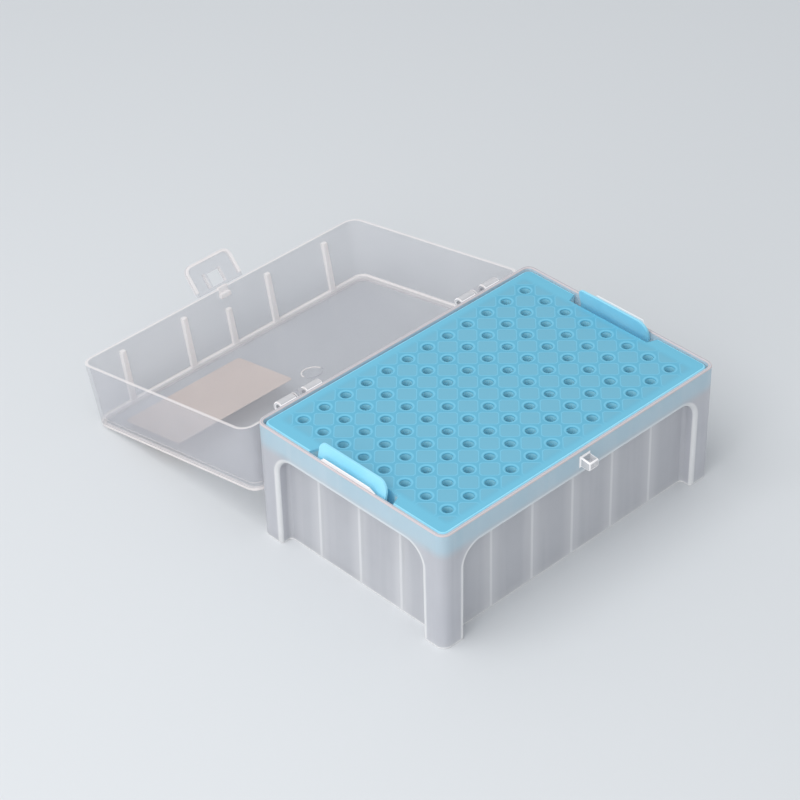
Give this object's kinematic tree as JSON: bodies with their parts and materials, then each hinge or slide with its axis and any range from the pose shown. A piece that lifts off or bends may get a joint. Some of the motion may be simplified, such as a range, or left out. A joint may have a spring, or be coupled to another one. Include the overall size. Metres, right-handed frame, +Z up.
{
  "type": "pipette tip box",
  "caption": "Open rack box for pipette tips: frosted base on corner posts, drop-in tray with a grid of holes, and a clear hinged lid laid open with a latch flap.",
  "frame": {"origin": "centre of the base's underside", "axes": "+X along the box, +Y from the catch to the hinge and the open lid, +Z up"},
  "size_m": [0.125, 0.182, 0.0485],
  "materials": {
    "frosted_plastic": "satin",
    "blue_plastic": "satin",
    "clear_plastic": "glossy",
    "paper": "matte"
  },
  "bodies": {
    "base": {"base": "frosted_plastic", "tray": "blue_plastic"},
    "lid": {"lid": "clear_plastic", "label": "paper"},
    "latch": {"latch": "clear_plastic"}
  },
  "joints": [
    {"name": "lid_hinge", "type": "hinge", "parent": "base", "child": "lid", "pos_m": [0, 0.044, 0.041], "axis": [1, 0, 0], "range_deg": [0, 190.63]},
    {"name": "latch_hinge", "type": "hinge", "parent": "lid", "child": "latch", "pos_m": [0, 0.12927, 0.02339], "axis": [1, 0, 0], "range_deg": [-45, 31]}
  ]
}
